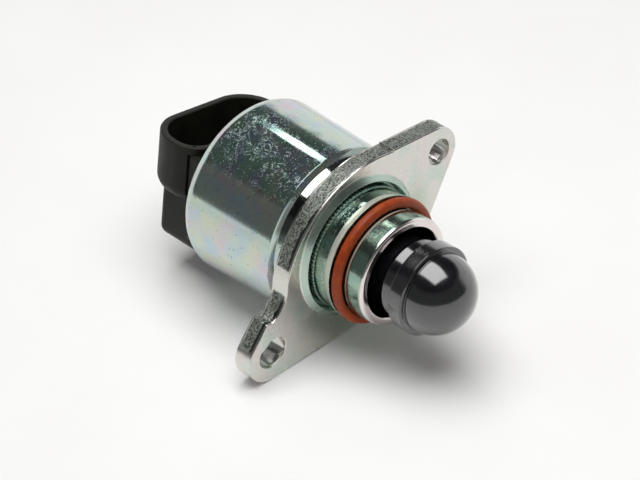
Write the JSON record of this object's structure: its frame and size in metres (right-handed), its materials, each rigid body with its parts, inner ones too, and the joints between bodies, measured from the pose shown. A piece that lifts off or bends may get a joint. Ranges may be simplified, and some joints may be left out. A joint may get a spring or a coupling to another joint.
{
  "type": "idle air control valve",
  "caption": "Stepper idle air control valve with plated can, two-bolt mounting plate, sealed nose, sliding pintle and side plug socket.",
  "frame": {"origin": "on the valve axis, in the plane of the mounting plate's front face", "axes": "+X along the valve axis towards the pintle, +Z the way the plug socket opens, +Y completes the right hand"},
  "size_m": [0.075, 0.05, 0.0411],
  "materials": {
    "zinc_can": "clear zinc plating, satin",
    "zinc_plate": "clear zinc plating, tumbled",
    "zinc_nose": "clear zinc plating, turned",
    "orange_rubber": "satin",
    "pintle_plastic": "semi-gloss",
    "cap_plastic": "moulded, satin",
    "bright_steel": "ground",
    "spring_steel": "drawn wire",
    "bush_brass": "turned",
    "ball_chrome": "polished",
    "magnet_ferrite": "ground ferrite",
    "hub_plastic": "moulded",
    "stator_steel": "stamped",
    "bobbin_plastic": "moulded",
    "winding": "enamelled copper wire",
    "black_rubber": "satin",
    "pin_metal": "tinned"
  },
  "bodies": {
    "valve_body": {"motor_can": "zinc_can", "mounting_plate": "zinc_plate", "nose_collar": "zinc_nose", "ring_seal": "orange_rubber", "return_spring": "spring_steel", "guide_bush": "bush_brass", "bearing_outer_race": "bright_steel", "rear_bush": "bush_brass", "thrust_washer": "bush_brass", "stator_cup_1": "stator_steel", "stator_cup_2": "stator_steel", "stator_cup_3": "stator_steel", "stator_cup_4": "stator_steel", "bobbin_1": "bobbin_plastic", "bobbin_2": "bobbin_plastic", "coil_1": "winding", "coil_2": "winding", "connector_cap": "cap_plastic", "cap_seal": "black_rubber", "terminal_pin_1": "pin_metal", "terminal_pin_2": "pin_metal", "terminal_pin_3": "pin_metal", "terminal_pin_4": "pin_metal"},
    "rotor": {"rotor_magnet": "magnet_ferrite", "rotor_nut": "hub_plastic", "bearing_inner_race": "bright_steel"},
    "ball_train": {"bearing_cage": "bush_brass", "bearing_balls": "ball_chrome"},
    "pintle": {"pintle_head": "pintle_plastic", "lead_screw": "bright_steel"}
  },
  "joints": [
    {"name": "rotor_spin", "type": "hinge", "parent": "valve_body", "child": "rotor", "pos_m": [-0.015, 0, 0], "axis": [1, 0, 0], "range_deg": [-540, 3240]},
    {"name": "ball_train_spin", "type": "hinge", "parent": "valve_body", "child": "ball_train", "pos_m": [-0.007, 0, 0], "axis": [1, 0, 0], "range_deg": [-231, 1383]},
    {"name": "pintle_slide", "type": "slide", "parent": "valve_body", "child": "pintle", "axis": [1, 0, 0], "range_m": [-0.009, 0.0015], "deforming": ["return_spring"]}
  ],
  "couplings": [
    {"joint": "ball_train_spin", "follows": "rotor_spin", "ratio": 0.4266},
    {"joint": "pintle_slide", "follows": "rotor_spin", "m_per_rad": -0.00015915}
  ]
}
